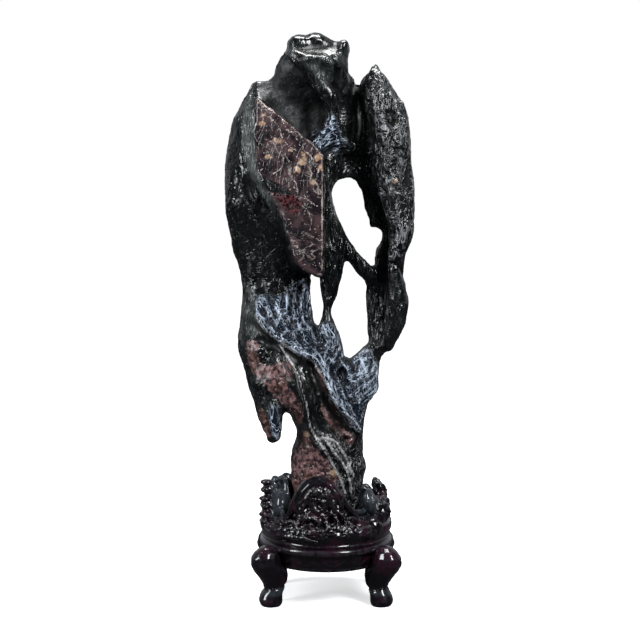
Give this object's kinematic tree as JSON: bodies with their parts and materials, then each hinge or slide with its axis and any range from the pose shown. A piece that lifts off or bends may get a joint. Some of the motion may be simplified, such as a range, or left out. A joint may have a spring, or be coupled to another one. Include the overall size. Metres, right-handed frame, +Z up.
{
  "type": "scholar's rock on a carved stand",
  "caption": "Upright pierced dark stone with a flat red-brown blade face, held in a round carved lacquered wood stand on short curved legs.",
  "frame": {"origin": "middle of the bounding box at the level of the feet, on the surface that the stand rests on", "axes": "+Z up, +Y from the front (the side with the flat red blade) to the back, +X to the right seen from the front"},
  "size_m": [0.138, 0.0994, 0.4107],
  "materials": {
    "stone": "waxed dark stone with red-brown faces and pale veins",
    "lacquered_wood": "gloss"
  },
  "bodies": {
    "root": {"rock": "stone", "stand_body": "lacquered_wood", "leg_front_left": "lacquered_wood", "leg_front_right": "lacquered_wood", "leg_back_right": "lacquered_wood", "leg_back_left": "lacquered_wood"}
  },
  "joints": []
}
